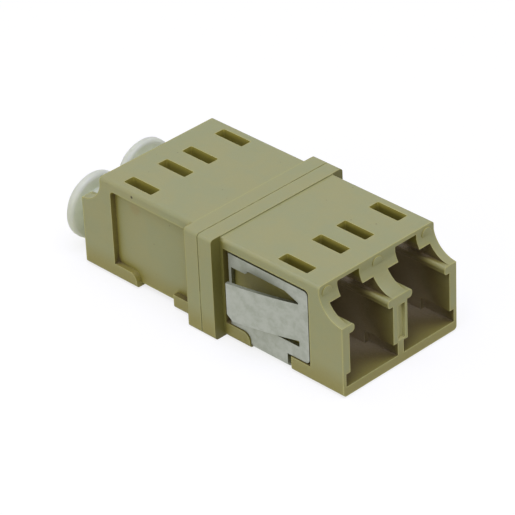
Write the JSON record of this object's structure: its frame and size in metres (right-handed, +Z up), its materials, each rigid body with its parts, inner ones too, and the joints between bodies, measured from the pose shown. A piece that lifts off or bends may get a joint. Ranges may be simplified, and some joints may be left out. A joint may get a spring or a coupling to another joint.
{
  "type": "duplex fibre adapter",
  "caption": "Panel-mount duplex fibre adapter: keyed ports back to back, spring clip, split alignment sleeves, dust caps in the rear ports.",
  "frame": {"origin": "on the weld plane between the two halves, midway between the ports, at the underside of the collar", "axes": "+X along the ports, out of the open pair; +Y across the pair; +Z up, towards the latch windows"},
  "size_m": [0.0318, 0.0154, 0.009],
  "materials": {
    "beige_plastic": "satin moulded beige thermoplastic",
    "spring_steel": "dull rolled stainless spring strip",
    "zirconia": "ground white ceramic",
    "translucent_white": "translucent natural polyethylene"
  },
  "bodies": {
    "adapter": {"housing_front": "beige_plastic", "housing_rear": "beige_plastic", "mounting_clip": "spring_steel", "split_sleeve_left": "zirconia", "split_sleeve_right": "zirconia"},
    "left_cap": {"dust_cap_left": "translucent_white"},
    "right_cap": {"dust_cap_right": "translucent_white"}
  },
  "joints": [
    {"name": "left_cap_pull", "type": "slide", "parent": "adapter", "child": "left_cap", "axis": [-1, 0, 0], "range_m": [0, 0.012]},
    {"name": "right_cap_pull", "type": "slide", "parent": "adapter", "child": "right_cap", "axis": [-1, 0, 0], "range_m": [-0.0008, 0.0112]}
  ]
}
